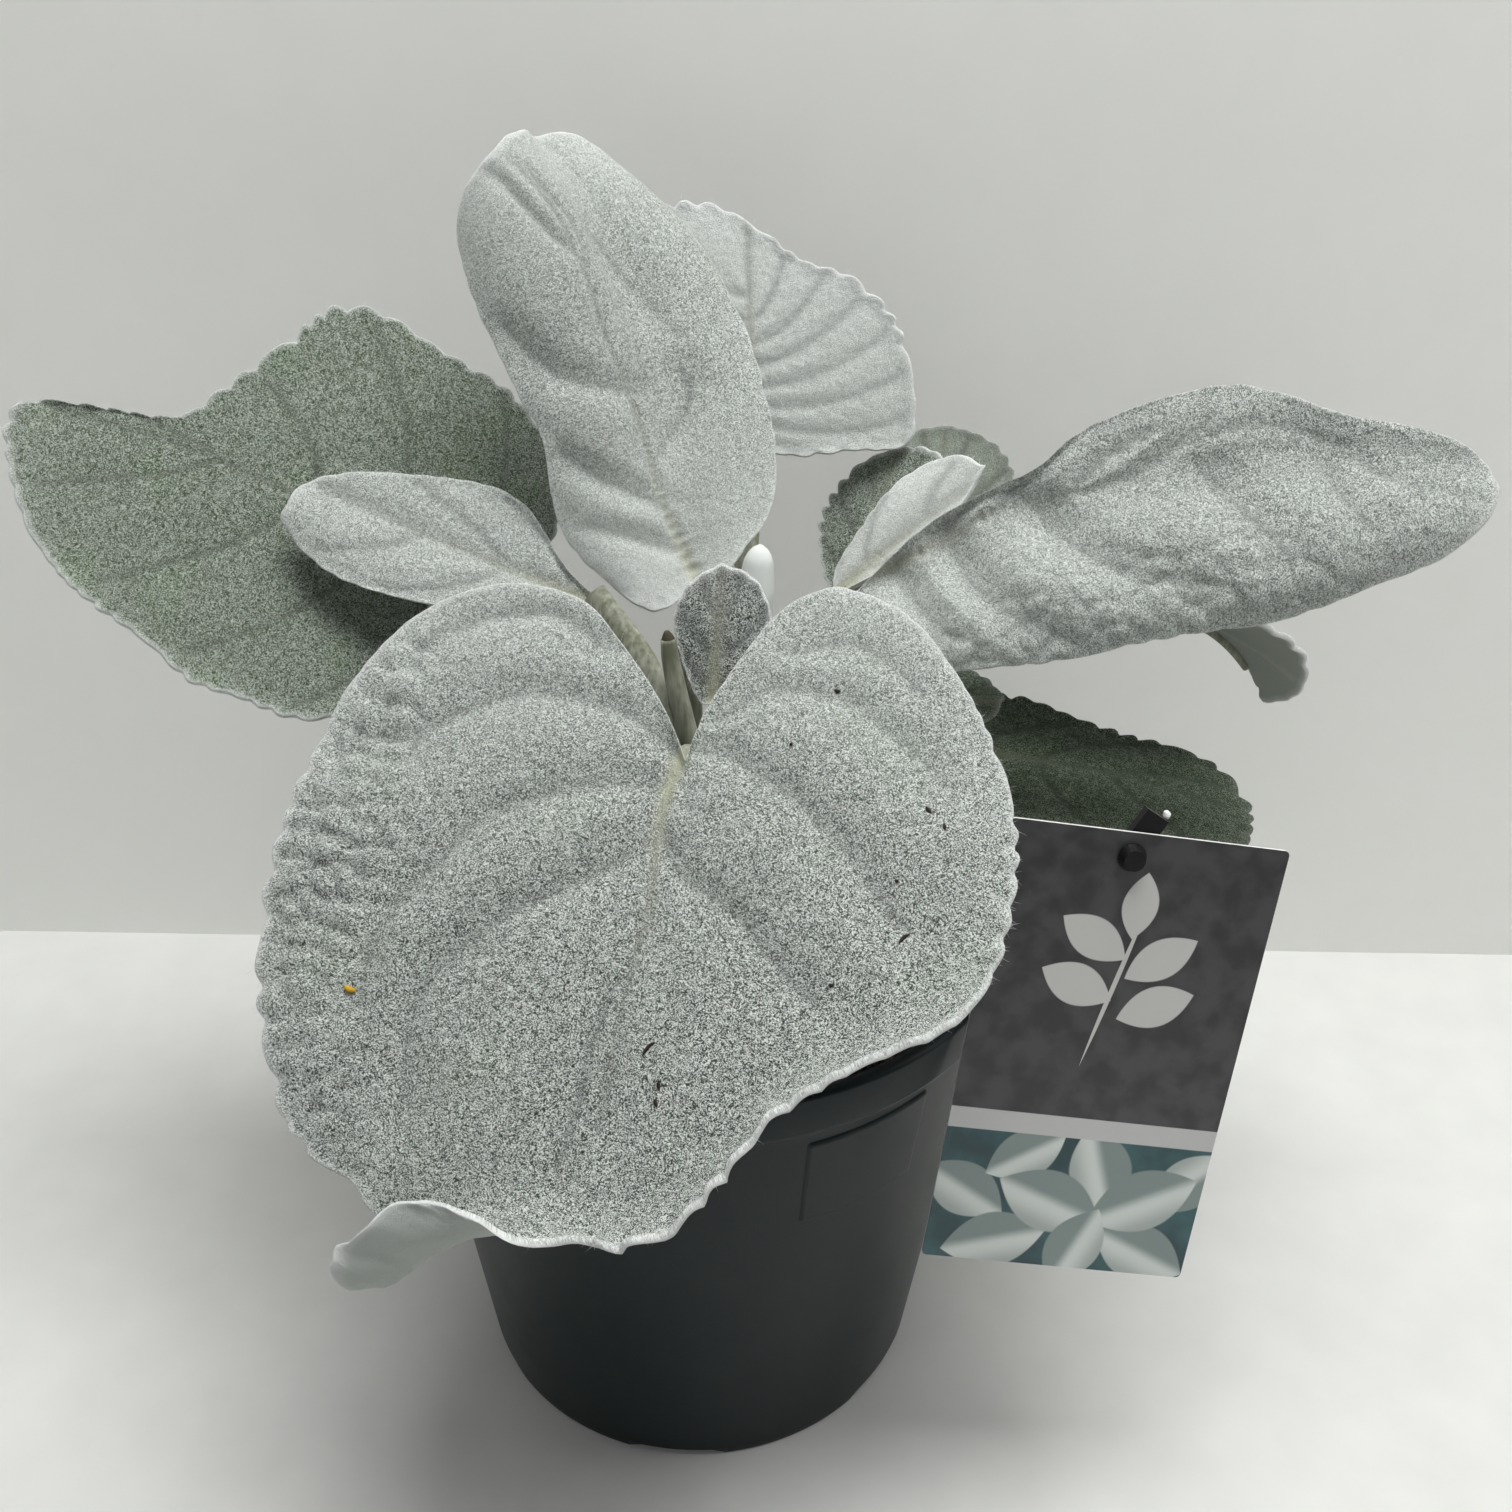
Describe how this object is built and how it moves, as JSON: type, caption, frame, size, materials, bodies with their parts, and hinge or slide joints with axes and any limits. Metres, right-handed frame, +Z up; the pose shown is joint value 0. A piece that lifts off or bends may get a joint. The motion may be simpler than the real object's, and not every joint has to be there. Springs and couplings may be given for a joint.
{
  "type": "potted silver-leaved senecio",
  "caption": "Broad woolly silver-white leaves with toothed margins on stalks from a short stem in a round dark plastic nursery pot, with a hanging plant label.",
  "frame": {"origin": "centre of the pot's flat base, on the surface it stands on", "axes": "+Z up, +X to the viewer's right, +Y away from the viewer; the big hanging leaf points to -Y and the label card faces -Y"},
  "size_m": [0.2971, 0.2063, 0.2741],
  "materials": {
    "silver": "matt woolly leaf",
    "green_grey": "thinly woolly leaf, green showing through",
    "green": "green leaf with sparse hairs",
    "stem": "pale olive, downy",
    "pot": "satin, very dark green-black",
    "soil": "dark peaty compost",
    "card": "printed smooth card",
    "clip": "black satin plastic"
  },
  "bodies": {
    "root": {"pot": "pot", "soil": "soil", "stem": "stem", "leaf_front": "silver", "leaf_left_broad": "green_grey", "leaf_left_young": "silver", "leaf_upright": "silver", "leaf_right_long": "silver", "leaf_back": "silver", "leaf_right_back": "green_grey", "leaf_right_far": "green", "leaf_right_slim": "silver", "leaf_right_low": "green", "leaf_right_hanging": "green_grey", "leaf_right_small": "green", "leaf_centre_small": "green_grey", "shoot_tip": "silver", "label_clip": "clip", "label_card": "card"}
  },
  "joints": []
}
